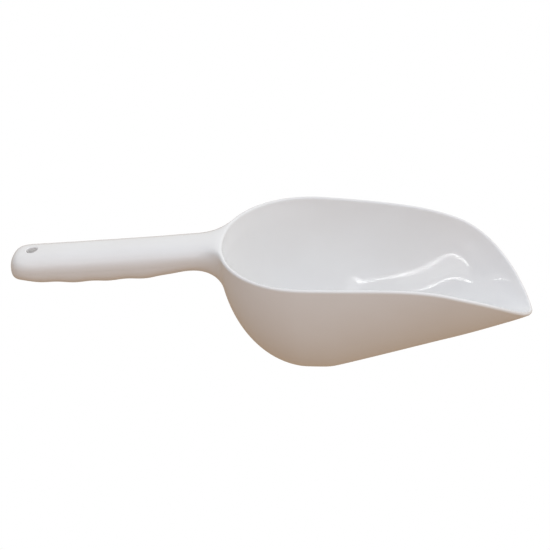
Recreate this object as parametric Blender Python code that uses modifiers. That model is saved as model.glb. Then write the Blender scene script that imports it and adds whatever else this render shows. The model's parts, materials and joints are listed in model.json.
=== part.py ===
"""Plastic ice scoop: an open bowl drawn down to a rounded lip, with a hollow finger grip behind it.

Two mouldings make the scoop. scoop_body is the bowl, its rim, the flared neck and the upper half of
the grip. handle_lower_shell closes the grip from below: its tongue hooks into the neck, its pins
press into the body's sockets, and the hanging hole runs through both.

Metres. The origin is the centre of the flat that the bowl stands on, +X points to the lip, +Z up,
and the scoop is symmetric across Y.
"""

import math

import bmesh
import bpy
import numpy as np
from mathutils import Vector

# Bowl outline, seen from above
BACK_X = -0.060
TIP_X = 0.1313
WIDEST_X = -0.006
HALF_WIDTH = 0.0572
BACK_POWER = 2.085
SIDE_TAPER = 0.3085
TAPER_POWER = 1.43
NOSE_X = 0.0821
NOSE_POWER = 2.07
NOSE_ROOT = 1.593

# Bowl outline, seen from the side
RIM_HEIGHT = 0.0775
RIM_RISE = 0.0180
LIP_DROP_X = 0.0108
LIP_DROP_POWER = 3.88
FLOOR_SLOPE = 0.3468
FLOOR_BEND_X = 0.0116
FLOOR_BEND_LENGTH = 0.0030
BACK_CURVE_X = -0.0014
FOOT_CUT = 0.0024
FOOT_EDGE = 0.0004

# Bowl cross-section: how square its lower corners are at the widest station and at the lip
SQUARE_BACK = 2.455
SQUARE_LIP = 1.0
WALL = 0.0026

# Grip
GRIP_END_X = -0.1916
GRIP_ROUND_LENGTH = 0.0170
GRIP_HALF_WIDTH = 0.01475
GRIP_DROOP = 0.1453
GRIP_DEPTH = 0.0215
NECK_DEPTH = 0.0180
GRIP_TAPER_X = (-0.1046, -0.0763)
GRIP_SQUARE = 2.5
GRIP_WALL = 0.0024
END_SQUARE = 3.06
END_ROUND_DEPTH = 0.0078
END_THIN = 0.0051
END_THIN_LENGTH = 0.0537
FIRST_TURN = math.radians(14)
SEAT_PITCH = 0.022
SEAT_DEPTH = 0.00037
FIRST_RIDGE_X = -0.172
FLANGE_STEP = 0.00025

# Neck, between the grip and the bowl's back wall
NECK_X = -0.0756
NECK_MEET_X = -0.0465
FILLET_HALF_WIDTH = 0.0266
FILLET_SIDE_DEPTH = 0.0095
FILLET_REACH = 0.0244
FLANGE_ANGLE = math.radians(45)
FLANGE_EDGE = 0.0012
NECK_LEAVE = 0.50
NECK_LAND = 0.29
FLANGE_LEAVE = 0.48
FLANGE_LAND = 0.25
POCKET_END_X = -0.067
POCKET_NARROWING = 0.8
FORM_TIP = (-0.020, 0.0, 0.0625)
LAND_SPREAD = 0.05

# The joint between the two mouldings
PARTING_DEPTH = 0.0100
SHELL_FRONT_X = -0.084
GAP = 0.0003
PIN_XS = (-0.150, -0.106)
PIN_RADIUS = 0.0019
PIN_FOOT_RADIUS = 0.0032
PIN_REACH = 0.0040
SOCKET_RADIUS = 0.0042
SOCKET_CLEARANCE = 0.0003
TONGUE_LENGTH = 0.0070
TONGUE_THICKNESS = 0.0020
TONGUE_HALF_WIDTH = 0.0050
TONGUE_LIFT = 0.0007
TONGUE_ROOT = 0.0080
SOCKET_STEP = 0.0007
PIN_SHOULDER_STEP = 0.0010
TUBE_STEP = 0.0008
CUT_OVERRUN = 0.002
CUT_MARGIN = 0.010
CUT_HALF_WIDTH = 0.030

# Hanging hole
HOLE_X = -0.1788
HOLE_RADIUS = 0.0034
HOLE_TUBE_RADIUS = 0.0056

# Mesh fineness
OUTLINE_POINTS = 30
DEPTH_RINGS = 12
RING_POINTS = 40
NECK_RINGS = 8
END_RINGS = 6
ROUND_SEGMENTS = 24


def share(value, low, high):
    """How far value has gone from low to high, held between 0 and 1."""
    return np.clip((value - low) / (high - low), 0.0, 1.0)


def smooth_share(value, low, high):
    t = share(value, low, high)
    return t * t * (3 - 2 * t)


# ---------------------------------------------------------------- bowl shape


def rim_line(x):
    """The rim's height before it drops towards the lip."""
    return RIM_HEIGHT + RIM_RISE * (x - BACK_X)


def keel_height(x):
    """The bowl's lowest line: a quarter ellipse down the back, a flat floor, then a straight ramp."""
    past_bend = x - FLOOR_BEND_X
    ramp = FLOOR_SLOPE * (past_bend + np.hypot(past_bend, FLOOR_BEND_LENGTH)) / 2 - FOOT_CUT
    t = 1 - share(x, BACK_X, BACK_CURVE_X)
    back = 1 - np.sqrt(1 - t * t)
    return ramp + (rim_line(x) - ramp) * back


def rim_height(x):
    drop = rim_line(TIP_X) - keel_height(TIP_X)
    return rim_line(x) - drop * share(x, LIP_DROP_X, TIP_X) ** LIP_DROP_POWER


def rim_half_width(x):
    behind = 1 - share(x, BACK_X, WIDEST_X)
    ahead = share(x, WIDEST_X, TIP_X)
    nose = share(x, NOSE_X, TIP_X)
    back_curve = (1 - behind**BACK_POWER) ** (1 / BACK_POWER)
    nose_curve = (1 - nose**NOSE_POWER) ** (1 / NOSE_ROOT)
    return HALF_WIDTH * back_curve * (1 - SIDE_TAPER * ahead**TAPER_POWER) * nose_curve


def skin_height(x, y):
    """Height of the bowl's outer skin above a point of its plan. The foot under it is flat at zero."""
    across = np.clip(np.abs(y) / np.maximum(rim_half_width(x), 1e-9), 0.0, 1.0)
    low = keel_height(x)
    wall = rim_height(x) - low
    kept = np.clip(wall / np.maximum(rim_line(x) - low, 1e-9), 1e-6, 1.0)
    square = SQUARE_BACK + (SQUARE_LIP - SQUARE_BACK) * share(x, WIDEST_X, TIP_X)
    reach = 1 - (1 - kept) ** square
    rise = (1 - (1 - reach * across**2) ** (1 / square)) / kept
    height = low + wall * rise
    blended = FOOT_EDGE * np.clip((height + FOOT_EDGE) / (2 * FOOT_EDGE), 0.0, 1.0) ** 2
    return np.where(height > FOOT_EDGE, height, blended)


def outline_points(count):
    """Plan points round the rim: out along +Y from the back to the tip, and home along -Y."""
    angles = np.linspace(0.0, math.pi, count + 1)
    x = BACK_X + (TIP_X - BACK_X) * (1 - np.cos(angles)) / 2
    y = rim_half_width(x)
    return np.concatenate([x, x[-2:0:-1]]), np.concatenate([y, -y[-2:0:-1]])


def skin_mesh(name):
    """The bowl's outer skin as an open sheet: rings that close in on the foot, nearer each other at the rim."""
    rim_x, rim_y = outline_points(OUTLINE_POINTS)
    rows = []
    for ring in range(DEPTH_RINGS):
        scale = 1 - (ring / DEPTH_RINGS) ** 2
        x, y = rim_x * scale, rim_y * scale
        rows.append(np.stack([x, y, skin_height(x, y)], axis=1))
    centre = [[0.0, 0.0, float(skin_height(np.array(0.0), np.array(0.0)))]]
    count = len(rim_x)
    faces = []
    for ring in range(DEPTH_RINGS - 1):
        for i in range(count):
            j = (i + 1) % count
            a, b = ring * count, (ring + 1) * count
            faces.append((a + i, a + j, b + j, b + i))
    last, pole = (DEPTH_RINGS - 1) * count, DEPTH_RINGS * count
    faces += [(last + i, last + (i + 1) % count, pole) for i in range(count)]
    mesh = bpy.data.meshes.new(name)
    mesh.from_pydata(np.concatenate(rows + [centre]).tolist(), [], faces)
    point_normals(mesh, Vector((0.0, 0.0, -1.0)))
    return mesh


def point_normals(mesh, outward):
    """Turns all faces of an open sheet to one side: the side that the last face shows to outward."""
    sheet = bmesh.new()
    sheet.from_mesh(mesh)
    sheet.faces.ensure_lookup_table()
    bmesh.ops.recalc_face_normals(sheet, faces=sheet.faces[:])
    if sheet.faces[-1].normal.dot(outward) < 0:
        bmesh.ops.reverse_faces(sheet, faces=sheet.faces[:])
    sheet.to_mesh(mesh)
    sheet.free()


# ---------------------------------------------------------------- grip shape


def grip_top(x):
    return RIM_HEIGHT - FLANGE_STEP + GRIP_DROOP * (x - BACK_X)


def grip_depth(x):
    """Depth from the grip's top to its underside: ridges and finger seats, then the slimmer neck."""
    body = GRIP_DEPTH + (NECK_DEPTH - GRIP_DEPTH) * smooth_share(x, *GRIP_TAPER_X)
    body = body - END_THIN * (1 - share(x, GRIP_END_X, GRIP_END_X + END_THIN_LENGTH)) ** 2
    fade = 1 - smooth_share(x, *GRIP_TAPER_X)
    return body + fade * SEAT_DEPTH * np.cos(2 * math.pi * (x - FIRST_RIDGE_X) / SEAT_PITCH)


def end_scale(x, length, inset):
    """How much of its full size the grip has, along the given length of rounding at its end."""
    out = 1 - share(x, GRIP_END_X + inset, GRIP_END_X + length)
    return (1 - out**END_SQUARE) ** (1 / END_SQUARE)


def grip_ring(x, inset=0.0):
    """One closed ring of the grip. Its end is rounded over a longer way in plan than in side view."""
    wide = end_scale(x, GRIP_ROUND_LENGTH, inset)
    deep = end_scale(x, END_ROUND_DEPTH, inset)
    half_depth = grip_depth(x) / 2
    angles = 2 * math.pi * np.arange(RING_POINTS) / RING_POINTS
    bend = 2 / GRIP_SQUARE
    across = np.sign(np.cos(angles)) * np.abs(np.cos(angles)) ** bend
    above = np.sign(np.sin(angles)) * np.abs(np.sin(angles)) ** bend
    y = (GRIP_HALF_WIDTH - inset) * wide * across
    z = grip_top(x) - half_depth + (half_depth - inset) * deep * above
    return np.stack([np.full(RING_POINTS, x), y, z], axis=1)


def skin_point(rim_x, side, depth):
    """The point of the bowl's outer skin that lies depth below the rim, inward of one rim point."""
    rim_y = side * float(rim_half_width(np.array(rim_x)))
    scale = 1 - np.linspace(0.0, 1.0, 200) ** 2
    x, y = rim_x * scale, rim_y * scale
    z = skin_height(x, y)
    level = float(rim_height(np.array(rim_x))) - depth
    at = np.interp(-level, -z, np.arange(len(z)))
    return np.array([np.interp(at, np.arange(len(z)), line) for line in (x, y, z)])


def rim_x_at(half_width):
    """Where the rim, behind its widest station, is this wide."""
    x = np.linspace(BACK_X, WIDEST_X, 400)
    return float(np.interp(half_width, rim_half_width(x), x))


def neck_foot(angle, spread=1.0):
    """Where the neck's surface runs out on the bowl, for one direction round the grip's ring."""
    side = 1.0 if math.cos(angle) >= 0 else -1.0
    meet_y = float(rim_half_width(NECK_MEET_X))
    if math.sin(angle) <= 0:
        y = FILLET_HALF_WIDTH * abs(math.cos(angle)) * spread
        depth = FILLET_SIDE_DEPTH + FILLET_REACH * abs(math.sin(angle)) * spread
    else:
        climb = min(1.0, math.sin(angle) / math.sin(FLANGE_ANGLE))
        y = (FILLET_HALF_WIDTH + (meet_y - FILLET_HALF_WIDTH) * climb) * spread
        depth = FLANGE_EDGE + (FILLET_SIDE_DEPTH - FLANGE_EDGE) * (1 - climb) ** 2
    return skin_point(rim_x_at(y), side, depth)


def neck_end(angle):
    """The neck's last point and its direction there: on the wall below, along the rim above."""
    meet_y = float(rim_half_width(NECK_MEET_X))
    if math.sin(angle) <= math.sin(FLANGE_ANGLE) + 1e-6:
        point = neck_foot(angle)
        ahead = neck_foot(angle, 1 + LAND_SPREAD) - neck_foot(angle, 1 - LAND_SPREAD)
        point[:2] *= 1 - WALL / 4 / np.linalg.norm(point[:2])
    else:
        y = (meet_y - WALL / 2) * math.cos(angle) / math.cos(FLANGE_ANGLE)
        x = rim_x_at(abs(y)) + WALL / 2
        point = np.array([x, y, float(rim_height(x)) - FLANGE_STEP])
        ahead = np.array([1.0, 0.6 * y / meet_y, GRIP_DROOP / 2])
    return point, ahead / np.linalg.norm(ahead)


def neck_rings():
    """Rings between the grip and the bowl, each point on a curve that leaves and lands tangentially."""
    start = grip_ring(NECK_X)
    forward = np.array([1.0, 0.0, GRIP_DROOP])
    angles = 2 * math.pi * np.arange(RING_POINTS) / RING_POINTS
    curves = []
    for first, angle in zip(start, angles):
        last, ahead = neck_end(angle)
        chord = np.linalg.norm(last - first)
        flare = share(math.sin(angle), 0.0, math.sin(FLANGE_ANGLE))
        leave = first + forward * chord * (NECK_LEAVE + (FLANGE_LEAVE - NECK_LEAVE) * flare)
        land = last - ahead * chord * (NECK_LAND + (FLANGE_LAND - NECK_LAND) * flare)
        curves.append((first, leave, land, last))
    rings = []
    for step in range(1, NECK_RINGS + 1):
        t = step / NECK_RINGS
        rings.append(
            np.array(
                [
                    a * (1 - t) ** 3 + 3 * b * t * (1 - t) ** 2 + 3 * c * t * t * (1 - t) + d * t**3
                    for a, b, c, d in curves
                ]
            )
        )
    return rings


def loft(name, rings, first_tip, last_tip):
    """A closed solid through rings of equal count, each end drawn to a tip."""
    count = len(rings[0])
    verts = [list(first_tip)] + np.concatenate(rings).tolist() + [list(last_tip)]
    faces = [(0, 1 + (i + 1) % count, 1 + i) for i in range(count)]
    for row in range(len(rings) - 1):
        a, b = 1 + row * count, 1 + (row + 1) * count
        faces += [(a + i, a + (i + 1) % count, b + (i + 1) % count, b + i) for i in range(count)]
    a, tip = 1 + (len(rings) - 1) * count, len(verts) - 1
    faces += [(a + i, a + (i + 1) % count, tip) for i in range(count)]
    mesh = bpy.data.meshes.new(name)
    mesh.from_pydata(verts, [], faces)
    solid = bmesh.new()
    solid.from_mesh(mesh)
    bmesh.ops.recalc_face_normals(solid, faces=solid.faces[:])
    solid.to_mesh(mesh)
    solid.free()
    return mesh


def grip_stations(front_x, inset=0.0):
    """Stations from the rounded end to front_x, with four to each finger seat."""
    end, full = GRIP_END_X + inset, GRIP_END_X + GRIP_ROUND_LENGTH
    turn = np.linspace(FIRST_TURN, math.radians(90), END_RINGS)
    rounded = full - (full - end) * np.cos(turn)
    straight = np.arange(full, front_x - SEAT_PITCH / 8, SEAT_PITCH / 4)[1:]
    return list(rounded) + list(straight) + [front_x]


def grip_middle(x):
    return float(grip_top(x) - grip_depth(x) / 2)


def grip_mesh():
    """The whole grip and neck as one solid. Its front runs on into the bowl, where it is cut off."""
    rings = [grip_ring(x) for x in grip_stations(NECK_X)] + neck_rings()
    return loft("grip_form", rings, (GRIP_END_X, 0.0, grip_middle(GRIP_END_X)), FORM_TIP)


def grip_core_mesh():
    """The hollow of the grip, one wall inside its surface, with a pocket that runs on into the neck."""
    rings = [grip_ring(x, GRIP_WALL) for x in grip_stations(NECK_X, GRIP_WALL)]
    front = rings[-1].copy()
    centre = front.mean(axis=0)
    front = centre + (front - centre) * POCKET_NARROWING
    front[:, 0] = POCKET_END_X
    front[:, 2] += GRIP_DROOP * (POCKET_END_X - NECK_X)
    rings.append(front)
    start_x = GRIP_END_X + GRIP_WALL
    first_tip = (start_x, 0.0, grip_middle(start_x))
    return loft("grip_core", rings, first_tip, tuple(front.mean(axis=0)))


# ---------------------------------------------------------------- objects


def collection(name):
    made = bpy.data.collections.new(name)
    bpy.context.scene.collection.children.link(made)
    return made


def place(mesh, name, group, cutter=False):
    made = bpy.data.objects.new(name, mesh)
    group.objects.link(made)
    if cutter:
        made.hide_render = True
        made.display_type = "WIRE"
    else:
        mesh.shade_smooth()
        mesh.set_sharp_from_angle(angle=math.radians(35))
    return made


def boolean(target, other, operation):
    cut = target.modifiers.new(f"{operation.lower()}_{other.name}", "BOOLEAN")
    cut.operation = operation
    cut.solver = "EXACT"
    cut.object = other


def plastic(name, colour, roughness):
    material = bpy.data.materials.new(name)
    material.use_nodes = True
    surface = material.node_tree.nodes["Principled BSDF"]
    surface.inputs["Base Color"].default_value = (*colour, 1.0)
    surface.inputs["Roughness"].default_value = roughness
    surface.inputs["Metallic"].default_value = 0.0
    return material


def upright_cylinder(name, radius, x, low, high, group):
    mesh = bpy.data.meshes.new(name)
    form = bmesh.new()
    bmesh.ops.create_cone(
        form, cap_ends=True, segments=ROUND_SEGMENTS, radius1=radius, radius2=radius, depth=high - low
    )
    bmesh.ops.translate(form, verts=form.verts[:], vec=(x, 0.0, (low + high) / 2))
    form.to_mesh(mesh)
    form.free()
    return place(mesh, name, group, cutter=True)


def side_profile(name, points, half_width, group):
    """A block whose side view is a polygon in XZ, the same width each side of the middle."""
    form = bmesh.new()
    corners = [form.verts.new((x, -half_width, z)) for x, z in points]
    face = form.faces.new(corners)
    grown = bmesh.ops.extrude_face_region(form, geom=[face])
    moved = [item for item in grown["geom"] if isinstance(item, bmesh.types.BMVert)]
    bmesh.ops.translate(form, verts=moved, vec=(0.0, 2 * half_width, 0.0))
    bmesh.ops.recalc_face_normals(form, faces=form.faces[:])
    mesh = bpy.data.meshes.new(name)
    form.to_mesh(mesh)
    form.free()
    return place(mesh, name, group, cutter=True)


def parting_height(x):
    return float(grip_top(x)) - PARTING_DEPTH


def below_parting(name, lift, group):
    """Everything under the parting line and behind the shell's front edge, grown by lift."""
    back, front = GRIP_END_X - CUT_MARGIN, SHELL_FRONT_X + lift
    low = 0.0
    points = [
        (back, low),
        (front, low),
        (front, parting_height(front) + lift),
        (back, parting_height(back) + lift),
    ]
    return side_profile(name, points, CUT_HALF_WIDTH, group)


def bowl_core(group):
    """The bowl's hollow from half way through its wall, closed high above the rim."""
    mesh = skin_mesh("bowl_core")
    form = bmesh.new()
    form.from_mesh(mesh)
    form.normal_update()
    shifted = {v: v.co - v.normal * (WALL / 2) for v in form.verts}
    for vert, spot in shifted.items():
        vert.co = spot
    rim = [edge for edge in form.edges if edge.is_boundary]
    grown = bmesh.ops.extrude_edge_only(form, edges=rim)
    top = [item for item in grown["geom"] if isinstance(item, bmesh.types.BMVert)]
    for vert in top:
        vert.co.z = RIM_HEIGHT + CUT_HALF_WIDTH
    bmesh.ops.contextual_create(form, geom=top)
    bmesh.ops.recalc_face_normals(form, faces=form.faces[:])
    form.to_mesh(mesh)
    form.free()
    return place(mesh, "bowl_core", group, cutter=True)


def underside(x, inset=0.0):
    return float(grip_top(x) - grip_depth(x)) + inset


def tongue(group):
    """The hook on the lower shell's front edge. It lies on the floor of the neck's pocket."""
    front, edge = SHELL_FRONT_X + TONGUE_LENGTH, SHELL_FRONT_X - GAP / 2
    back = edge - TONGUE_ROOT
    lift = GRIP_WALL + TONGUE_LIFT
    points = [
        (back, underside(back, GRIP_WALL / 2)),
        (edge, underside(edge, GRIP_WALL / 2)),
        (edge, underside(edge, lift)),
        (front, underside(front, lift)),
        (front, underside(front, lift + TONGUE_THICKNESS)),
        (back, underside(back, lift + TONGUE_THICKNESS)),
    ]
    return side_profile("tongue", points, TONGUE_HALF_WIDTH, group)


def build_body(group, cutters, forms):
    """scoop_body: the bowl's wall, joined to the neck and the grip's upper half, with its sockets."""
    body = place(skin_mesh("scoop_body"), "scoop_body", group)
    wall = body.modifiers.new("bowl_wall", "SOLIDIFY")
    wall.thickness = WALL
    wall.offset = -1.0
    wall.use_even_offset = True
    grip = place(grip_mesh(), "body_grip_form", cutters, cutter=True)
    boolean(grip, forms["bowl_core"], "DIFFERENCE")
    boolean(body, grip, "UNION")
    boolean(body, below_parting("shell_space", GAP / 2, cutters), "DIFFERENCE")
    boolean(body, forms["grip_core"], "DIFFERENCE")
    for number, x in enumerate(PIN_XS, 1):
        high = float(grip_top(x)) - GRIP_WALL / 2
        low = parting_height(x) + GAP / 2 + SOCKET_STEP
        boss = upright_cylinder(f"socket_{number}", SOCKET_RADIUS, x, low, high, cutters)
        boolean(body, boss, "UNION")
        bore = upright_cylinder(
            f"socket_bore_{number}", PIN_RADIUS + SOCKET_CLEARANCE, x, low - CUT_OVERRUN, low + PIN_REACH, cutters
        )
        boolean(body, bore, "DIFFERENCE")
    low = parting_height(HOLE_X) + GAP / 2 + TUBE_STEP
    high = float(grip_top(HOLE_X)) - GRIP_WALL / 2
    boolean(body, upright_cylinder("hole_tube_upper", HOLE_TUBE_RADIUS, HOLE_X, low, high, cutters), "UNION")
    boolean(body, forms["hanging_hole"], "DIFFERENCE")
    body.data.materials.append(plastic("scoop_white", (0.86, 0.85, 0.84), 0.28))
    return body


def build_lower_shell(group, cutters, forms):
    """handle_lower_shell: the grip's underside with the finger seats, its pins, tongue and hole tube."""
    shell = place(grip_mesh(), "handle_lower_shell", group)
    boolean(shell, below_parting("shell_half", -GAP / 2, cutters), "INTERSECT")
    boolean(shell, forms["grip_core"], "DIFFERENCE")
    for number, x in enumerate(PIN_XS, 1):
        low = underside(x, GRIP_WALL / 2)
        shoulder = parting_height(x) - GAP / 2 - PIN_SHOULDER_STEP
        foot = upright_cylinder(f"pin_foot_{number}", PIN_FOOT_RADIUS, x, low, shoulder, cutters)
        boolean(shell, foot, "UNION")
        pin = upright_cylinder(f"pin_{number}", PIN_RADIUS, x, low, shoulder + PIN_REACH, cutters)
        boolean(shell, pin, "UNION")
    low = underside(HOLE_X, GRIP_WALL / 2)
    high = parting_height(HOLE_X) - GAP / 2 - TUBE_STEP
    boolean(shell, upright_cylinder("hole_tube_lower", HOLE_TUBE_RADIUS, HOLE_X, low, high, cutters), "UNION")
    boolean(shell, tongue(cutters), "UNION")
    boolean(shell, forms["hanging_hole"], "DIFFERENCE")
    shell.data.materials.append(plastic("shell_white", (0.85, 0.84, 0.83), 0.30))
    return shell


def main():
    for old in list(bpy.data.objects):
        bpy.data.objects.remove(old)
    group = collection("ice_scoop")
    cutters = collection("ice_scoop_cutters")
    forms = {
        "bowl_core": bowl_core(cutters),
        "grip_core": place(grip_core_mesh(), "grip_core", cutters, cutter=True),
        "hanging_hole": upright_cylinder("hanging_hole", HOLE_RADIUS, HOLE_X, 0.0, RIM_HEIGHT, cutters),
    }
    build_body(group, cutters, forms)
    build_lower_shell(group, cutters, forms)


main()
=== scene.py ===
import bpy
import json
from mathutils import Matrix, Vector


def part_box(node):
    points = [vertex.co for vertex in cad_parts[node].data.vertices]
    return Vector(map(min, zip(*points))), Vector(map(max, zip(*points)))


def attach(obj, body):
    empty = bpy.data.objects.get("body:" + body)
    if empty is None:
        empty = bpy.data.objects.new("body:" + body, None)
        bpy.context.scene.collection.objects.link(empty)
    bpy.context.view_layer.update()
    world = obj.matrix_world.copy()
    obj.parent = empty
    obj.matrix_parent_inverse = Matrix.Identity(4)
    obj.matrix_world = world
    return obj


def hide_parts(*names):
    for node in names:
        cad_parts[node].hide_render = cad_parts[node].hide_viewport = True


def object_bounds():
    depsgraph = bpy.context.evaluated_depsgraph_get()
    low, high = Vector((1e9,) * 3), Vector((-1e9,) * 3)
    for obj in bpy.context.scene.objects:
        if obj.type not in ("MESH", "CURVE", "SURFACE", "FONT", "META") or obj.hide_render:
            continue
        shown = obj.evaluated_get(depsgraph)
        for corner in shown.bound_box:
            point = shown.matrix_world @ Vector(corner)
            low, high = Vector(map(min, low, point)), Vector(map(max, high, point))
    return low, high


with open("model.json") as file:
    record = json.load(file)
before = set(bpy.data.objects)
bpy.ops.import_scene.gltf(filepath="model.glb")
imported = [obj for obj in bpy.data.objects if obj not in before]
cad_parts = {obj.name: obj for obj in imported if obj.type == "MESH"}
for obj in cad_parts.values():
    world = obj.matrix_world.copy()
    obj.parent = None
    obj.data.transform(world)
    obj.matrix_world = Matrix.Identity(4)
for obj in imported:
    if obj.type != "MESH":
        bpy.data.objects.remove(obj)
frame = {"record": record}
cad_low, cad_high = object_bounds()
openings = {opening["name"]: opening["box_m"] for opening in frame["record"]["physics"]["openings"]}

# The looks of a moulded plastic ice scoop: a bowl drawn down to a rounded lip, and a hollow finger grip.
#
# One closed skin is lofted over the whole scoop: the bowl's inside and outside, the rounded rim between
# them, the flared neck and the grip. It is then parted along the hairline joint between the two mouldings,
# so each CAD node gets its own piece. Metres, in the row frame: +X points to the lip, +Z is up.

import json
import math

import bmesh
import bpy
import numpy as np
from mathutils import Matrix, Vector

# Bowl outline, seen from above
BACK_X = -0.060
TIP_X = cad_high.x
WIDEST_X = -0.006
HALF_WIDTH = cad_high.y
BACK_POWER = 2.085
SIDE_TAPER = 0.3085
TAPER_POWER = 1.43
NOSE_X = 0.0821
NOSE_POWER = 2.07
NOSE_ROOT = 1.593

# Bowl outline, seen from the side
RIM_HEIGHT = 0.0775
RIM_RISE = 0.0180
LIP_DROP_X = 0.0108
LIP_DROP_POWER = 3.88
FLOOR_SLOPE = 0.3468
FLOOR_BEND_X = 0.0116
FLOOR_BEND_LENGTH = 0.0030
BACK_CURVE_X = -0.0014
FOOT_CUT = 0.0024
FOOT_EDGE = 0.0010
FLOOR_EDGE = 0.0034

# Bowl cross-section
SQUARE_BACK = 2.455
SQUARE_LIP = 1.0
WALL = 0.0026
RIM_RADIUS = WALL / 2
RIM_SET = 0.0002

# Grip
GRIP_END_X = cad_low.x
GRIP_ROUND_LENGTH = 0.0170
GRIP_HALF_WIDTH = 0.01475
GRIP_DROOP = 0.1453
GRIP_DEPTH = 0.0215
NECK_DEPTH = 0.0180
GRIP_TAPER_X = (-0.1046, -0.0763)
GRIP_SQUARE = 2.5
END_SQUARE = 3.06
END_ROUND_DEPTH = 0.0078
END_THIN = 0.0051
END_THIN_LENGTH = 0.0537
SEAT_PITCH = 0.022
SEAT_DEPTH = 0.00037
FIRST_RIDGE_X = -0.172
FLANGE_STEP = 0.00025

# Neck, between the grip and the bowl's back wall
NECK_X = -0.0756
NECK_MEET_X = -0.0540
FILLET_HALF_WIDTH = 0.0266
FILLET_SIDE_DEPTH = 0.0095
FILLET_REACH = 0.0244
FOOT_SPREAD = 0.02
MEET_OPENING = math.radians(3)
FLANGE_ANGLE = math.radians(45)
CREST_ANGLE = math.radians(49)
NECK_LEAVE = 0.50
NECK_LAND = 0.29
FLANGE_LEAVE = 0.55
FLANGE_LAND = 0.30

# The joint between the two mouldings, and the hanging hole
PARTING_DEPTH = 0.0100
TONGUE_LENGTH = 0.0070
SHELL_FRONT_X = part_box("handle_lower_shell")[1].x - TONGUE_LENGTH
SEAM = 0.00005
HOLE_RADIUS = 0.0034
HOLE_FILLET = 0.0009
HOLE_START = math.radians(12)
HOLE_OVERRUN = 0.002
HOLE_POINTS = 64
HOLE_STEPS = 8

# Looks of the plastic. Each noise is its scale, its detail and, where given, its roughness.
BODY_PALE = (0.86, 0.855, 0.845)
BODY_DEEP = (0.845, 0.835, 0.82)
SHELL_PALE = (0.855, 0.85, 0.84)
SHELL_DEEP = (0.84, 0.83, 0.815)
FLOW_NOISE = (18.0, 3.0)
FLOW_RANGE = (0.35, 0.65)
HAZE_NOISE = (55.0, 4.0)
HAZE_RANGE = (0.30, 0.70)
ROUGHNESS = (0.05, 0.08)
SATIN_X = (-0.100, 0.010)
SATIN_ROUGHNESS = 0.17
RUB_STRETCH = (30.0, 160.0, 90.0)
RUB_NOISE = (1.0, 4.0, 0.6)
RUB_RANGE = (0.62, 0.80)
RUB_ROUGHNESS = 0.05
RIPPLE_NOISE = (26.0, 2.0)
GRAIN_NOISE = (900.0, 3.0)
RIPPLE_SHARE = 0.08
GRAIN_SHARE = 0.006
BUMP_STRENGTH = 0.2
BUMP_HEIGHT = 0.0004
PLASTIC_IOR = 1.46
SHARP_ANGLE = math.radians(40)

# Camera
CAMERA_AZIMUTH = math.radians(6.924)
CAMERA_ELEVATION = math.radians(32.0)
CAMERA_DISTANCE = 1.0309
CAMERA_CENTRE = (0.0, 0.0, 0.0426)
CAMERA_AIM = (-0.02613, 0.0, 0.05297)
CAMERA_ROLL = -0.01419
CAMERA_LENS = 110.02
CAMERA_SENSOR = 36.0

# Studio: soft lights as (direction, cosine at which the light ends, colour)
LIGHT_FALLOFF = 1.5
SOFT_LIGHTS = (
    ((0.0, 0.0, 1.0), 0.3, (0.50, 0.55, 0.62)),
    ((0.0, -1.0, 0.15), 0.3, (0.30, 0.18, 0.11)),
    ((0.0, -0.7, 0.7), 0.3, (0.46, 0.51, 0.59)),
    ((0.0, 0.7, 0.7), 0.3, (0.53, 0.51, 0.49)),
    ((0.0, 1.0, 0.1), 0.3, (0.45, 0.43, 0.39)),
    ((-1.0, 0.0, 0.4), 0.3, (0.02, 0.02, 0.02)),
    ((1.0, 0.0, 0.4), 0.3, (0.92, 0.92, 0.92)),
)
# A ceiling light, high and to the left, in two bays with a bright bar along each bay's front edge. The bars
# show as streaks and the bays as pale bands inside the bowl. Each edge is three plan points of the ceiling.
CEILING = 0.70
FRONT_EDGE = ((-0.67, -0.84), (-0.72, -1.12), (-0.80, -1.50))
MIDDLE_EDGE = ((-0.50, -0.38), (-0.49, -0.50), (-0.48, -0.66))
BACK_EDGE = ((-0.20, 0.10), (-0.60, 0.15), (-1.00, 0.00))
BAR_WIDTH = 0.020
BAR_GLOW = (16.0, 16.0, 16.0)
BAY_GLOWS = ((2.2, 2.2, 2.2), (1.2, 1.2, 1.2))
FLOOR_BOUNCE = (0.41, 0.30, 0.21)
FLOOR_LEVEL = 0.0
FLOOR_REACH = 6.0

# Mesh fineness
FRONT_COLUMNS = 300
FOOT_STEPS = 54
RIM_STEPS = 5
CREST_STEPS = 16
WALL_RINGS = 36
FLOOR_RINGS = 26
INNER_RINGS = 64
NECK_RINGS = 28
GRIP_STEP = 0.0012
END_RINGS = 22
END_SPACING = 1.5
COLUMN_SAMPLES = 500
RIM_SAMPLES = 4000
SKIN_SAMPLES = 2000
FLOOR_LOOP = 0.55
EASING = 0.5
EASING_ROUNDS = 60
FAIRING_ROUNDS = 90
FAIRING_REACH = 0.12


def share(value, low, high):
    """How far value has gone from low to high, held between 0 and 1."""
    return np.clip((value - low) / (high - low), 0.0, 1.0)


def smooth_share(value, low, high):
    """The same share, eased at both ends."""
    t = share(value, low, high)
    return t * t * (3 - 2 * t)


def unit(vectors):
    return vectors / (np.linalg.norm(vectors, axis=-1, keepdims=True) + 1e-15)


# ---------------------------------------------------------------- bowl shape


def rim_line(x):
    """The rim's height before it drops towards the lip."""
    return RIM_HEIGHT + RIM_RISE * (x - BACK_X)


def keel_height(x):
    """The bowl's lowest line: a quarter ellipse down the back, a flat floor, then a straight ramp."""
    past_bend = x - FLOOR_BEND_X
    ramp = FLOOR_SLOPE * (past_bend + np.hypot(past_bend, FLOOR_BEND_LENGTH)) / 2 - FOOT_CUT
    t = 1 - share(x, BACK_X, BACK_CURVE_X)
    back = 1 - np.sqrt(1 - t * t)
    return ramp + (rim_line(x) - ramp) * back


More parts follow.
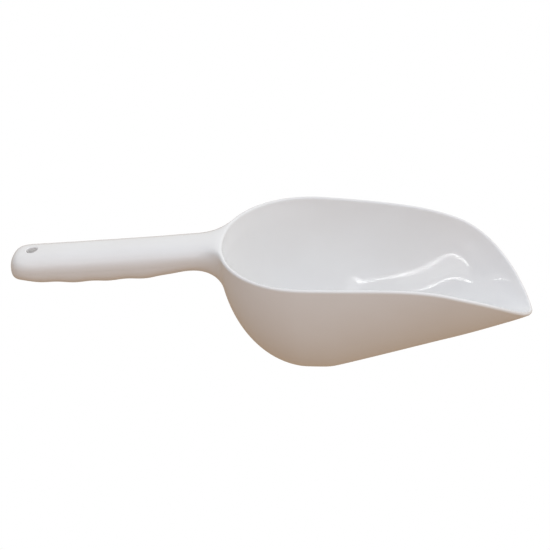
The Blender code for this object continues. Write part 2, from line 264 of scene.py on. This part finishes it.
def rim_height(x):
    """The rim's height, with its drop to the lip."""
    drop = rim_line(TIP_X) - keel_height(TIP_X)
    return rim_line(x) - drop * share(x, LIP_DROP_X, TIP_X) ** LIP_DROP_POWER


def rim_half_width(x):
    """Half the bowl's width at its rim: a rounded back, tapering sides and a rounded nose."""
    behind = 1 - share(x, BACK_X, WIDEST_X)
    ahead = share(x, WIDEST_X, TIP_X)
    nose = share(x, NOSE_X, TIP_X)
    back_curve = (1 - behind**BACK_POWER) ** (1 / BACK_POWER)
    nose_curve = (1 - nose**NOSE_POWER) ** (1 / NOSE_ROOT)
    side_curve = 1 - SIDE_TAPER * ahead**TAPER_POWER
    return HALF_WIDTH * back_curve * side_curve * nose_curve


def rim_slope(x, step=1e-5):
    """How fast the rim widens along X."""
    return float(rim_half_width(np.array(x + step)) - rim_half_width(np.array(x - step))) / (2 * step)


def rim_x_at(half_width):
    """Where the rim, behind its widest station, is this wide."""
    behind = (1 - (half_width / HALF_WIDTH) ** BACK_POWER) ** (1 / BACK_POWER)
    return BACK_X + (1 - behind) * (WIDEST_X - BACK_X)


def skin_height(x, y, edge=FOOT_EDGE):
    """The bowl's outer skin above a point of its plan, with the flat foot blended in over edge."""
    across = np.clip(np.abs(y) / np.maximum(rim_half_width(x), 1e-9), 0.0, 1.0)
    low = keel_height(x)
    wall = rim_height(x) - low
    kept = np.clip(wall / np.maximum(rim_line(x) - low, 1e-9), 1e-6, 1.0)
    square = SQUARE_BACK + (SQUARE_LIP - SQUARE_BACK) * share(x, WIDEST_X, TIP_X)
    reach = 1 - (1 - kept) ** square
    rise = (1 - (1 - reach * across**2) ** (1 / square)) / kept
    height = low + wall * rise
    blended = edge * np.clip((height + edge) / (2 * edge), 0.0, 1.0) ** 2
    return np.where(height > edge, height, blended)


def floor_height(x, y):
    """The same skin with a softer foot, which the inside of the bowl follows."""
    return skin_height(x, y, FLOOR_EDGE)


def columns(start, target, first_arc, rows, height):
    """Points down each plan line from start to target, evenly spaced on the surface from first_arc on."""
    along = np.linspace(0.0, 1.0, COLUMN_SAMPLES)[:, None] ** 2
    x = start[:, 0] + (target[:, 0] - start[:, 0]) * along
    y = start[:, 1] + (target[:, 1] - start[:, 1]) * along
    z = height(x, y)
    steps = np.sqrt(np.diff(x, axis=0) ** 2 + np.diff(y, axis=0) ** 2 + np.diff(z, axis=0) ** 2)
    arcs = np.concatenate([np.zeros((1, len(start))), np.cumsum(steps, axis=0)])
    made = np.zeros((rows, len(start), 3))
    for i in range(len(start)):
        wanted = np.linspace(first_arc, arcs[-1, i], rows)
        at = np.interp(wanted, arcs[:, i], along[:, 0])
        made[:, i, 0] = start[i, 0] + (target[i, 0] - start[i, 0]) * at
        made[:, i, 1] = start[i, 1] + (target[i, 1] - start[i, 1]) * at
    made[:, :, 2] = height(made[:, :, 0], made[:, :, 1])
    return made


def rim_loop():
    """Plan points round the rim: from the neck's +Y side by the lip to its -Y side, then round the back."""
    angles = np.linspace(0.0, math.pi, RIM_SAMPLES)
    x = BACK_X + (TIP_X - BACK_X) * (1 - np.cos(angles)) / 2
    y = rim_half_width(x)
    length = np.concatenate([[0.0], np.cumsum(np.hypot(np.diff(x), np.diff(y)))])
    meet = np.interp(NECK_MEET_X, x, length)
    half = np.linspace(meet, length[-1], FRONT_COLUMNS // 2 + 1)
    side = np.interp(half, length, x)
    near_y = rim_half_width(side)
    near_y[-1] = 0.0
    front_x = np.concatenate([side, side[-2::-1]])
    front_y = np.concatenate([near_y, -near_y[-2::-1]])
    turn = np.linspace(CREST_ANGLE, math.pi - CREST_ANGLE, 2 * CREST_STEPS + 1)[1:-1]
    back_y = -near_y[0] * np.cos(turn) / math.cos(CREST_ANGLE)
    back_x = rim_x_at(np.abs(back_y))
    return np.stack([np.concatenate([front_x, back_x]), np.concatenate([front_y, back_y])], axis=1)


def rim_frames(plan):
    """For each rim point: the point, the way into the wall, and the way out of the rim's edge."""
    point = np.stack([plan[:, 0], plan[:, 1], rim_height(plan[:, 0])], axis=1)
    down = columns(plan, plan * 0.0, RIM_RADIUS / 2, 2, skin_height)[0] - point
    round_rim = np.roll(point, -1, axis=0) - np.roll(point, 1, axis=0)
    inward = unit(np.cross(round_rim, down))
    above_bowl = np.array([(BACK_X + TIP_X) / 4, 0.0, RIM_HEIGHT + HALF_WIDTH / 2])
    inward *= np.sign(np.sum(inward * (above_bowl - point), axis=1))[:, None]
    outward = -unit(down - inward * np.sum(inward * down, axis=1)[:, None])
    return point, inward, outward


def rim_point(frames, index, turn):
    """A point of the rounded rim: turn 0 is on the outer skin, a half turn on the inner skin."""
    point, inward, outward = (part[index] for part in frames)
    centre = point + inward * RIM_RADIUS - outward * (RIM_RADIUS + RIM_SET)
    return centre + RIM_RADIUS * (outward * math.sin(turn) - inward * math.cos(turn))


# ---------------------------------------------------------------- grip and neck shape


def grip_top(x):
    return RIM_HEIGHT - FLANGE_STEP + GRIP_DROOP * (x - BACK_X)


def grip_depth(x):
    """Depth from the grip's top to its underside: ridges and finger seats, then the slimmer neck."""
    body = GRIP_DEPTH + (NECK_DEPTH - GRIP_DEPTH) * smooth_share(x, *GRIP_TAPER_X)
    body = body - END_THIN * (1 - share(x, GRIP_END_X, GRIP_END_X + END_THIN_LENGTH)) ** 2
    fade = 1 - smooth_share(x, *GRIP_TAPER_X)
    return body + fade * SEAT_DEPTH * np.cos(2 * math.pi * (x - FIRST_RIDGE_X) / SEAT_PITCH)


def end_scale(x, length):
    """How much of its full size the grip has, along the given length of rounding at its end."""
    out = 1 - share(x, GRIP_END_X, GRIP_END_X + length)
    return (1 - out**END_SQUARE) ** (1 / END_SQUARE)


def grip_ring(x, angles):
    """One section of the grip: a rounded box that closes in towards the grip's end."""
    half_depth = grip_depth(x) / 2
    bend = 2 / GRIP_SQUARE
    across = np.sign(np.cos(angles)) * np.abs(np.cos(angles)) ** bend
    above = np.sign(np.sin(angles)) * np.abs(np.sin(angles)) ** bend
    y = GRIP_HALF_WIDTH * end_scale(x, GRIP_ROUND_LENGTH) * across
    z = grip_top(x) - half_depth + half_depth * end_scale(x, END_ROUND_DEPTH) * above
    return np.stack([np.full(len(angles), x), y, z], axis=1)


def skin_point(rim_x, depth):
    """The point of the bowl's +Y skin that lies depth below the rim, inward of one rim point."""
    rim_y = float(rim_half_width(np.array(rim_x)))
    scale = 1 - np.linspace(0.0, 1.0, SKIN_SAMPLES) ** 2
    x, y = rim_x * scale, rim_y * scale
    z = skin_height(x, y)
    level = float(rim_height(np.array(rim_x))) - depth
    at = np.interp(-level, -z, np.arange(len(z)))
    return np.array([np.interp(at, np.arange(len(z)), line) for line in (x, y, z)])


def neck_foot(angle, spread=1.0):
    """Where the neck's surface runs out on the bowl, for one direction round the grip's ring."""
    meet_y = float(rim_half_width(np.array(NECK_MEET_X)))
    if math.sin(angle) <= 0:
        y = FILLET_HALF_WIDTH * abs(math.cos(angle)) * spread
        depth = FILLET_SIDE_DEPTH + FILLET_REACH * abs(math.sin(angle)) * spread
    else:
        climb = min(1.0, math.sin(angle) / math.sin(FLANGE_ANGLE))
        y = (FILLET_HALF_WIDTH + (meet_y - FILLET_HALF_WIDTH) * climb) * spread
        depth = RIM_RADIUS + (FILLET_SIDE_DEPTH - RIM_RADIUS) * (1 - climb)
    return skin_point(float(rim_x_at(y)), depth)


def mirror(points):
    return points * np.array([1.0, -1.0, 1.0])


def neck_side(frames, meet, crest):
    """The +Y half of the neck's far edge, from under the grip to over it.

    Gives, for each meridian, its angle round the grip's ring, its end on the bowl and its direction there.
    """
    angles, ends, aheads = [], [], []
    for angle in np.linspace(-math.pi / 2, FLANGE_ANGLE, FOOT_STEPS + 1)[:-1]:
        angles.append(angle)
        ends.append(neck_foot(angle))
        ahead = neck_foot(angle, 1 + FOOT_SPREAD) - neck_foot(angle, 1 - FOOT_SPREAD)
        if len(ends) == 1:
            ahead[1] = 0.0
            ends[-1][1] = 0.0
        aheads.append(ahead)
    slope = math.atan(rim_slope(NECK_MEET_X)) - MEET_OPENING
    rim_ahead = np.array([math.cos(slope), math.sin(slope), RIM_RISE])
    for step in range(RIM_STEPS + 1):
        angles.append(FLANGE_ANGLE + (CREST_ANGLE - FLANGE_ANGLE) * step / RIM_STEPS)
        ends.append(rim_point(frames, meet, math.pi / 2 * step / RIM_STEPS))
        aheads.append(rim_ahead)
    for step, index in enumerate(crest, 1):
        angles.append(CREST_ANGLE + (math.pi / 2 - CREST_ANGLE) * step / CREST_STEPS)
        ends.append(rim_point(frames, index, math.pi / 2))
        lean = rim_ahead[1] / rim_ahead[0] * ends[-1][1] / ends[FOOT_STEPS + RIM_STEPS][1]
        ahead = np.array([1.0, lean, GRIP_DROOP / 2])
        ahead -= frames[2][index] * np.dot(ahead, frames[2][index])
        aheads.append(ahead)
    return np.array(angles), np.array(ends), unit(np.array(aheads))


# ---------------------------------------------------------------- one skin over the whole scoop


class Skin:
    """Vertices and quads of one surface, built grid by grid with shared edges."""

    def __init__(self):
        self.points = []
        self.faces = []

    def add(self, points):
        first = len(self.points)
        self.points += [tuple(p) for p in points]
        return list(range(first, len(self.points)))

    def strip(self, one, two, closed=True):
        count = len(one)
        for i in range(count if closed else count - 1):
            j = (i + 1) % count
            self.faces.append((one[i], one[j], two[j], two[i]))

    def fan(self, ring, pole):
        for i in range(len(ring)):
            self.faces.append((ring[i], ring[(i + 1) % len(ring)], pole))

    def mesh(self, name):
        made = bpy.data.meshes.new(name)
        made.from_pydata(self.points, [], self.faces)
        made.validate()
        return made


def faired(grid):
    """The bowl's inside with its changes of curvature drawn out, apart from its top edge and its middle."""
    down = np.linspace(0.0, 1.0, len(grid))[1:-1, None, None]
    hold = smooth_share(down, 0.0, FAIRING_REACH) * (1 - smooth_share(down, 1 - FAIRING_REACH, 1.0))
    for _ in range(FAIRING_ROUNDS):
        around = (np.roll(grid, 1, axis=1) + np.roll(grid, -1, axis=1))[1:-1] / 2
        grid[1:-1] += EASING * hold * (around - grid[1:-1])
    return grid


def inner_skin(skin, plan, frames):
    """The bowl's inside, one wall in from the outer skin. Returns the vertices of its top edge."""
    grid = columns(plan, plan * 0.0, RIM_RADIUS + RIM_SET, INNER_RINGS + 1, floor_height)[:-1]
    round_bowl = np.roll(grid, -1, axis=1) - np.roll(grid, 1, axis=1)
    normal = unit(np.cross(round_bowl, np.gradient(grid, axis=0)))
    normal *= np.sign(np.sum(normal * frames[1], axis=2).mean())
    moved = grid + normal * WALL
    moved[0] = [rim_point(frames, i, math.pi) for i in range(len(plan))]
    moved = faired(moved)
    rows = [skin.add(row) for row in moved]
    for one, two in zip(rows, rows[1:]):
        skin.strip(one, two)
    pole = skin.add([(0.0, 0.0, float(floor_height(np.array(0.0), np.array(0.0))) + WALL)])[0]
    skin.fan(rows[-1], pole)
    return rows[0]


def outer_skin(skin, edge, edge_points, plan):
    """The bowl's outside, from an edge that follows the rim and then the neck's foot, down to its pole."""
    floor_plan = FLOOR_LOOP * plan
    grid = columns(edge_points, floor_plan, 0.0, WALL_RINGS + 1, skin_height)
    rows = [edge] + [skin.add(row) for row in grid[1:]]
    for ring in range(1, FLOOR_RINGS):
        x, y = (floor_plan * (1 - ring / FLOOR_RINGS)).T
        rows.append(skin.add(np.stack([x, y, skin_height(x, y)], axis=1)))
    for one, two in zip(rows, rows[1:]):
        skin.strip(one, two)
    pole = skin.add([(0.0, 0.0, float(skin_height(np.array(0.0), np.array(0.0))))])[0]
    skin.fan(rows[-1], pole)


def relaxed(grid):
    """The neck's grid with its corners eased: points drift towards their neighbours, save at both ends."""
    hold = np.sin(math.pi * np.linspace(0.0, 1.0, len(grid)))[1:-1, None, None]
    for _ in range(EASING_ROUNDS):
        around = (np.roll(grid, 1, axis=1) + np.roll(grid, -1, axis=1))[1:-1]
        along = grid[2:] + grid[:-2]
        grid[1:-1] += EASING * hold * ((around + along) / 4 - grid[1:-1])
    return grid


def neck_and_grip(skin, loop, angles, ends, aheads):
    """Meridians from the bowl back to the grip, then the grip's rings out to its rounded end."""
    start = grip_ring(NECK_X, angles)
    forward = np.array([1.0, 0.0, GRIP_DROOP])
    chord = np.linalg.norm(ends - start, axis=1)[:, None]
    flare = share(np.sin(angles), 0.0, math.sin(FLANGE_ANGLE))[:, None]
    leave = start + forward * chord * (NECK_LEAVE + (FLANGE_LEAVE - NECK_LEAVE) * flare)
    land = ends - aheads * chord * (NECK_LAND + (FLANGE_LAND - NECK_LAND) * flare)
    t = np.linspace(1.0, 0.0, NECK_RINGS + 1)[:, None, None]
    back = 1 - t
    grid = start * back**3 + 3 * leave * t * back**2 + 3 * land * t**2 * back + ends * t**3
    rows = [loop] + [skin.add(ring) for ring in relaxed(grid)[1:]]
    full = GRIP_END_X + GRIP_ROUND_LENGTH
    count = round((NECK_X - full) / GRIP_STEP)
    for x in np.linspace(NECK_X, full, count + 1)[1:]:
        rows.append(skin.add(grip_ring(x, angles)))
    for step in range(END_RINGS - 1, 0, -1):
        turn = math.pi / 2 * (step / END_RINGS) ** END_SPACING
        rows.append(skin.add(grip_ring(full - GRIP_ROUND_LENGTH * math.cos(turn), angles)))
    for one, two in zip(rows, rows[1:]):
        skin.strip(one, two)
    end = float(grip_top(GRIP_END_X) - grip_depth(GRIP_END_X) / 2)
    skin.fan(rows[-1], skin.add([(GRIP_END_X, 0.0, end)])[0])


def scoop_mesh():
    """The closed skin: inside, rim, neck, grip and outside, sharing every edge."""
    plan = rim_loop()
    frames = rim_frames(plan)
    front = FRONT_COLUMNS + 1
    total = len(plan)
    skin = Skin()
    top = inner_skin(skin, plan, frames)

    # The rounded rim: full round the front, and only its inner half where the neck's top runs into it.
    half_turn = [math.pi / 2 * step / RIM_STEPS for step in range(2 * RIM_STEPS, -1, -1)]
    rim = [top]
    for step, turn in enumerate(half_turn[1:], 1):
        reach = total if step <= RIM_STEPS else front
        rim.append(skin.add([rim_point(frames, i, turn) for i in range(reach)]))
    for step, (one, two) in enumerate(zip(rim, rim[1:]), 1):
        if step <= RIM_STEPS:
            skin.strip(one, two)
        else:
            skin.strip(one[:front], two, closed=False)
    crest, outer = rim[RIM_STEPS], rim[-1]

    # The neck's far edge: the foot on the bowl, up the rim's end, and along the crest behind the bowl.
    back_crest = list(range(total - 1, front + CREST_STEPS - 2, -1))
    angles, ends, aheads = neck_side(frames, 0, back_crest)
    foot = slice(0, FOOT_STEPS)
    ups = slice(FOOT_STEPS, FOOT_STEPS + RIM_STEPS + 1)
    near_foot = skin.add(ends[foot])
    far_foot = [near_foot[0]] + skin.add(mirror(ends[foot])[1:])
    near_up = [rim[2 * RIM_STEPS - step][0] for step in range(RIM_STEPS + 1)]
    far_up = [rim[2 * RIM_STEPS - step][front - 1] for step in range(RIM_STEPS + 1)]
    near_top = [crest[i] for i in back_crest]
    far_top = [crest[front + step] for step in range(CREST_STEPS - 1)]
    loop = near_foot + near_up + near_top + far_top[::-1] + far_up[::-1] + far_foot[:0:-1]
    loop_angles = np.concatenate([angles, math.pi - angles[-2:0:-1]])
    loop_ends = np.concatenate([ends, mirror(ends[-2:0:-1])])
    loop_aheads = np.concatenate([aheads, mirror(aheads[-2:0:-1])])
    neck_and_grip(skin, loop, loop_angles, loop_ends, loop_aheads)

    # The outer skin hangs from the rim's outer edge and the neck's foot.
    edge = outer + far_foot[:0:-1] + near_foot
    foot_plan = np.concatenate([mirror(ends[foot])[:0:-1], ends[foot]])[:, :2]
    edge_points = np.concatenate([plan[:front] * 1.0, foot_plan])
    place = np.linspace(front - 1, total, len(foot_plan) + 2)[1:-1]
    wrapped = np.concatenate([plan, plan[:1]])
    spread = np.stack([np.interp(place, np.arange(total + 1), wrapped[:, k]) for k in (0, 1)], axis=1)
    outer_skin(skin, edge, edge_points, np.concatenate([plan[:front], spread]))
    return skin.mesh("scoop_skin")


# ---------------------------------------------------------------- pieces


def shown(name, mesh):
    piece = bpy.data.objects.new(name, mesh)
    bpy.context.scene.collection.objects.link(piece)
    return piece


def outward(mesh):
    """Points all faces of a closed mesh out."""
    form = bmesh.new()
    form.from_mesh(mesh)
    bmesh.ops.recalc_face_normals(form, faces=form.faces[:])
    form.to_mesh(mesh)
    form.free()


def solid(name, points, faces):
    mesh = bpy.data.meshes.new(name)
    mesh.from_pydata(points, [], faces)
    outward(mesh)
    return shown(name, mesh)


def boolean(target, cutter, operation):
    """Cuts target by cutter for good, and leaves no modifier behind."""
    cut = target.modifiers.new(operation.lower(), "BOOLEAN")
    cut.operation = operation
    cut.solver = "EXACT"
    cut.object = cutter
    evaluated = target.evaluated_get(bpy.context.evaluated_depsgraph_get())
    mesh = bpy.data.meshes.new_from_object(evaluated)
    target.modifiers.clear()
    target.data = mesh


def drop(piece):
    bpy.data.objects.remove(piece, do_unlink=True)


def parting_height(x):
    """Height of the joint between the two mouldings."""
    return float(grip_top(x)) - PARTING_DEPTH


def lower_half(name, lift):
    """Everything under the parting line and behind the lower shell's front edge, grown by lift."""
    back, front = GRIP_END_X - WALL, SHELL_FRONT_X + lift
    front_top, back_top = parting_height(front) + lift, parting_height(back) + lift
    side = [(back, 0.0), (front, 0.0), (front, front_top), (back, back_top)]
    points = [(x, y, z) for y in (-2 * GRIP_HALF_WIDTH, 2 * GRIP_HALF_WIDTH) for x, z in side]
    faces = [(0, 1, 2, 3), (7, 6, 5, 4)]
    faces += [(i, i + 4, (i + 1) % 4 + 4, (i + 1) % 4) for i in range(4)]
    return solid(name, points, faces)


def grip_surface(x, y, side):
    """Height of the grip's top (side 1) or underside (side -1) above a point of its plan."""
    half_depth = grip_depth(x) / 2
    across = np.clip(np.abs(y) / (GRIP_HALF_WIDTH * end_scale(x, GRIP_ROUND_LENGTH)), 0.0, 1.0)
    above = (1 - across**GRIP_SQUARE) ** (1 / GRIP_SQUARE)
    return grip_top(x) - half_depth + side * half_depth * end_scale(x, END_ROUND_DEPTH) * above


def hole_cutter(name):
    """The hanging hole: an upright bore whose two mouths are rounded over into the grip's surface."""
    low_corner, high_corner = openings["hanging_hole"]
    middle = (Vector(low_corner) + Vector(high_corner)) / 2
    around = 2 * math.pi * np.arange(HOLE_POINTS) / HOLE_POINTS
    rings = []
    for side in (1, -1):
        mouth = []
        for step in range(HOLE_STEPS + 1):
            turn = HOLE_START + (math.pi / 2 - HOLE_START) * step / HOLE_STEPS
            radius = HOLE_RADIUS + HOLE_FILLET * (1 - math.sin(turn))
            x, y = middle.x + radius * np.cos(around), middle.y + radius * np.sin(around)
            z = grip_surface(x, y, side) - side * HOLE_FILLET * (1 - math.cos(turn))
            if step == 0:
                mouth.append(np.stack([x, y, z + side * HOLE_OVERRUN], axis=1))
            mouth.append(np.stack([x, y, z], axis=1))
        rings += mouth if side == 1 else mouth[::-1]
    points = [tuple(p) for ring in rings for p in ring]
    faces = [tuple(range(HOLE_POINTS)), tuple(range(len(points) - HOLE_POINTS, len(points)))]
    for ring in range(len(rings) - 1):
        for i in range(HOLE_POINTS):
            j = (i + 1) % HOLE_POINTS
            one, two = ring * HOLE_POINTS, (ring + 1) * HOLE_POINTS
            faces.append((one + i, one + j, two + j, two + i))
    return solid(name, points, faces)


# ---------------------------------------------------------------- materials


class Graph:
    """A small helper for building node trees."""

    def __init__(self, tree):
        self.tree = tree
        tree.nodes.clear()

    def node(self, kind, inputs=(), **settings):
        made = self.tree.nodes.new(kind)
        for key, value in settings.items():
            setattr(made, key, value)
        for key, value in dict(inputs).items():
            if isinstance(value, bpy.types.NodeSocket):
                self.tree.links.new(value, made.inputs[key])
            else:
                made.inputs[key].default_value = value
        return made

    def math(self, operation, one, two):
        return self.node("ShaderNodeMath", {0: one, 1: two}, operation=operation).outputs[0]

    def noise(self, where, scale, detail, roughness=0.5):
        inputs = {"Vector": where, "Scale": scale, "Detail": detail, "Roughness": roughness}
        return self.node("ShaderNodeTexNoise", inputs).outputs["Fac"]

    def spread(self, value, low, high, to_low, to_high):
        """Eases from to_low to to_high as value goes from low to high."""
        inputs = {"Value": value, "From Min": low, "From Max": high, "To Min": to_low, "To Max": to_high}
        return self.node("ShaderNodeMapRange", inputs, interpolation_type="SMOOTHSTEP").outputs["Result"]

    def blend(self, amount, one, two):
        inputs = {0: amount, 6: one, 7: two}
        return self.node("ShaderNodeMix", inputs, data_type="RGBA").outputs[2]


def plastic(name, pale, deep):
    """Gloss moulded plastic with faint mottling, haze and rubbing marks, and a satin finish on the grip.

    The satin fades out along SATIN_X, from the neck into the bowl.
    """
    material = bpy.data.materials.new(name)
    material.use_nodes = True
    graph = Graph(material.node_tree)
    where = graph.node("ShaderNodeTexCoord").outputs["Object"]
    flow = graph.noise(where, *FLOW_NOISE)
    colour = graph.blend(graph.spread(flow, *FLOW_RANGE, 0.0, 1.0), (*deep, 1.0), (*pale, 1.0))

    drawn = graph.node("ShaderNodeMapping", {"Vector": where, "Scale": RUB_STRETCH}).outputs["Vector"]
    rubs = graph.spread(graph.noise(drawn, *RUB_NOISE), *RUB_RANGE, 0.0, 1.0)
    haze = graph.noise(where, *HAZE_NOISE)
    rough = graph.spread(haze, *HAZE_RANGE, *ROUGHNESS)
    rough = graph.math("ADD", rough, graph.math("MULTIPLY", rubs, RUB_ROUGHNESS))
    along = graph.node("ShaderNodeSeparateXYZ", {"Vector": where}).outputs["X"]
    rough = graph.math("ADD", rough, graph.spread(along, *SATIN_X, SATIN_ROUGHNESS, 0.0))

    ripple = graph.noise(where, *RIPPLE_NOISE)
    grain = graph.noise(where, *GRAIN_NOISE)
    ripple_height = graph.math("MULTIPLY", ripple, RIPPLE_SHARE)
    relief = graph.math("ADD", ripple_height, graph.math("MULTIPLY", grain, GRAIN_SHARE))
    relief = graph.math("SUBTRACT", relief, graph.math("MULTIPLY", rubs, GRAIN_SHARE))
    raised = {"Height": relief, "Strength": BUMP_STRENGTH, "Distance": BUMP_HEIGHT}
    bump = graph.node("ShaderNodeBump", raised)

    shader = graph.node(
        "ShaderNodeBsdfPrincipled",
        {"Base Color": colour, "Roughness": rough, "IOR": PLASTIC_IOR, "Normal": bump.outputs["Normal"]},
    )
    graph.node("ShaderNodeOutputMaterial", {"Surface": shader.outputs[0]})
    return material


# ---------------------------------------------------------------- the scoop


def build():
    """Makes the whole skin, bores the hole, and parts it into one piece for each CAD node."""
    skin = shown("skin", scoop_mesh())
    outward(skin.data)
    hole = hole_cutter("hole")
    boolean(skin, hole, "DIFFERENCE")
    pieces = (
        ("scoop_body", "body_plastic", "DIFFERENCE", SEAM, BODY_PALE, BODY_DEEP),
        ("handle_lower_shell", "shell_plastic", "INTERSECT", 0.0, SHELL_PALE, SHELL_DEEP),
    )
    for node, slot, operation, lift, pale, deep in pieces:
        name = node + "_skin"
        piece = shown(name, skin.data.copy())
        half = lower_half(name + "_half", lift)
        boolean(piece, half, operation)
        piece.data.materials.clear()
        piece.data.materials.append(plastic(slot, pale, deep))
        piece.data.shade_smooth()
        piece.data.set_sharp_from_angle(angle=SHARP_ANGLE)
        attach(piece, "root")
        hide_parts(node)
        drop(half)
    drop(hole)
    drop(skin)


# ---------------------------------------------------------------- the studio


def look_at(thing, place, target, roll=0.0):
    thing.location = place
    thing.rotation_mode = "QUATERNION"
    facing = (Vector(place) - Vector(target)).to_track_quat("Z", "Y")
    thing.rotation_quaternion = facing @ Matrix.Rotation(roll, 3, "Z").to_quaternion()


def set_camera():
    camera = shown("camera", bpy.data.cameras.new("camera"))
    camera.data.lens = CAMERA_LENS
    camera.data.sensor_width = CAMERA_SENSOR
    level = math.cos(CAMERA_ELEVATION)
    right, near = math.sin(CAMERA_AZIMUTH) * level, -math.cos(CAMERA_AZIMUTH) * level
    back = Vector((right, near, math.sin(CAMERA_ELEVATION)))
    look_at(camera, Vector(CAMERA_CENTRE) + CAMERA_DISTANCE * back, CAMERA_AIM, CAMERA_ROLL)
    bpy.context.scene.camera = camera


def set_world():
    """A white studio: bare white to the camera, and soft broad lights for everything else."""
    world = bpy.data.worlds.new("studio")
    bpy.context.scene.world = world
    world.use_nodes = True
    graph = Graph(world.node_tree)
    where = graph.node("ShaderNodeTexCoord").outputs["Generated"]
    total = None
    for direction, edge, colour in SOFT_LIGHTS:
        inputs = {0: where, 1: Vector(direction).normalized()}
        facing = graph.node("ShaderNodeVectorMath", inputs, operation="DOT_PRODUCT").outputs["Value"]
        lobe = graph.math("POWER", graph.spread(facing, edge, 1.0, 0.0, 1.0), LIGHT_FALLOFF)
        light = graph.node("ShaderNodeVectorMath", {0: colour, "Scale": lobe}, operation="SCALE").outputs[0]
        if total is None:
            total = light
        else:
            total = graph.node("ShaderNodeVectorMath", {0: total, 1: light}, operation="ADD").outputs[0]
    seen = graph.node("ShaderNodeLightPath").outputs["Is Camera Ray"]
    colour = graph.blend(seen, total, (1.0, 1.0, 1.0, 1.0))
    shine = graph.node("ShaderNodeBackground", {"Color": colour, "Strength": 1.0})
    graph.node("ShaderNodeOutputWorld", {"Surface": shine.outputs[0]})


def set_floor():
    """A plain floor: white to the camera, and a dim warm bounce for everything else."""
    corners = ((-1, -1), (1, -1), (1, 1), (-1, 1))
    points = [(x * FLOOR_REACH, y * FLOOR_REACH, FLOOR_LEVEL) for x, y in corners]
    mesh = bpy.data.meshes.new("floor")
    mesh.from_pydata(points, [], [(0, 1, 2, 3)])
    floor = shown("floor", mesh)
    material = bpy.data.materials.new("floor")
    material.use_nodes = True
    graph = Graph(material.node_tree)
    seen = graph.node("ShaderNodeLightPath").outputs["Is Camera Ray"]
    colour = graph.blend(seen, (*FLOOR_BOUNCE, 1.0), (1.0, 1.0, 1.0, 1.0))
    shine = graph.node("ShaderNodeEmission", {"Color": colour, "Strength": 1.0})
    graph.node("ShaderNodeOutputMaterial", {"Surface": shine.outputs[0]})
    mesh.materials.append(material)


def glowing(name, points, faces, colour):
    """An emitter on the ceiling. It lights and reflects, but the camera doesn't see it."""
    mesh = bpy.data.meshes.new(name)
    mesh.from_pydata([(x, y, CEILING) for x, y in points], [], faces)
    lamp = shown(name, mesh)
    lamp.visible_camera = False
    material = bpy.data.materials.new(name)
    material.use_nodes = True
    graph = Graph(material.node_tree)
    shine = graph.node("ShaderNodeEmission", {"Color": (*colour, 1.0), "Strength": 1.0})
    graph.node("ShaderNodeOutputMaterial", {"Surface": shine.outputs[0]})
    mesh.materials.append(material)


def set_ceiling():
    edges = (FRONT_EDGE, MIDDLE_EDGE, BACK_EDGE)
    for index, glow in enumerate(BAY_GLOWS):
        one, two = edges[index], edges[index + 1]
        count = len(one)
        faces = [(i, i + 1, i + 1 + count, i + count) for i in range(count - 1)]
        glowing("bay_%d" % (index + 1), one + two, faces, glow)
        along = np.gradient(np.array(one), axis=0)
        aside = unit(np.stack([along[:, 1], -along[:, 0]], axis=1)) * BAR_WIDTH / 2
        sides = [tuple(p) for p in np.concatenate([np.array(one) - aside, np.array(one) + aside])]
        glowing("bar_%d" % (index + 1), sides, faces, BAR_GLOW)


build()
set_camera()
set_ceiling()
set_world()
set_floor()
bpy.context.scene.view_settings.view_transform = "Standard"
